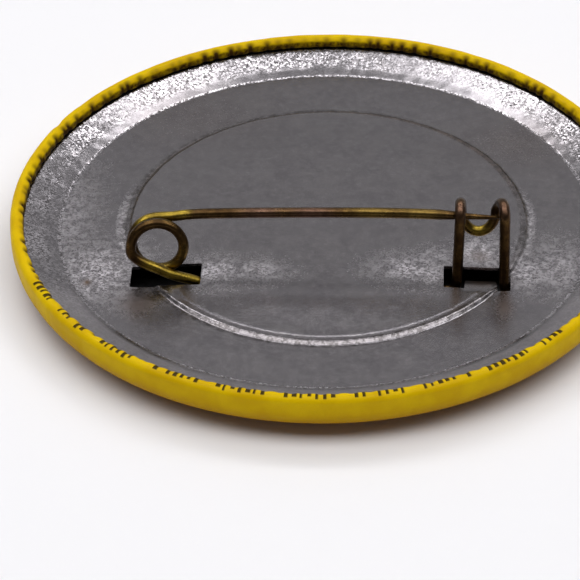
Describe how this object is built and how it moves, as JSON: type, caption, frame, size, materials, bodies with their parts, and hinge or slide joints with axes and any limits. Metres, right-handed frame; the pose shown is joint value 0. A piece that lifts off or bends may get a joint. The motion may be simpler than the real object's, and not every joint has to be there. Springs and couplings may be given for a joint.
{
  "type": "button badge",
  "caption": "Round pin-back button badge: domed film-covered front with a rolled rim, dished tin back plate with two slots, and a bent-wire pin with a spring coil and clasp.",
  "frame": {"origin": "on the badge's axis at the crown of the front face, which it lies on, pin side up", "axes": "+Z out of the back, through the pin side; +X along the pin from its spring coil to its clasp; the pin lies on the -Y side of the middle"},
  "size_m": [0.0572, 0.0572, 0.0101],
  "materials": {
    "clear_film": "thin clear film over the yellow sheet, soft gloss, faint wrinkles round the rim",
    "printed_sheet": "yellow printed paper, matt",
    "shell_tinplate": "bare tinplate",
    "plate_tinplate": "aged bare tinplate, grey, with bright speckles, fine scratches and light stains",
    "pin_wire": "drawn brass wire, dark patina with golden worn stretches"
  },
  "bodies": {
    "badge": {"clear_film": "clear_film", "printed_sheet": "printed_sheet", "front_shell": "shell_tinplate", "back_plate": "plate_tinplate"},
    "pin_wire": {"anchor_bar": "pin_wire", "spring_coil": "pin_wire", "clasp": "pin_wire"},
    "pin_needle": {"needle": "pin_wire"}
  },
  "joints": [
    {"name": "pin_fold", "type": "hinge", "parent": "badge", "child": "pin_wire", "pos_m": [0, -0.0089, 0.002], "axis": [-1, 0, 0], "range_deg": [-12, 12]},
    {"name": "needle_press", "type": "hinge", "parent": "pin_wire", "child": "pin_needle", "pos_m": [-0.01468, -0.00777, 0.00588], "axis": [0, 0.9781, -0.2079], "range_deg": [0, 7], "stiffness_Nm_per_rad": 0.15}
  ]
}
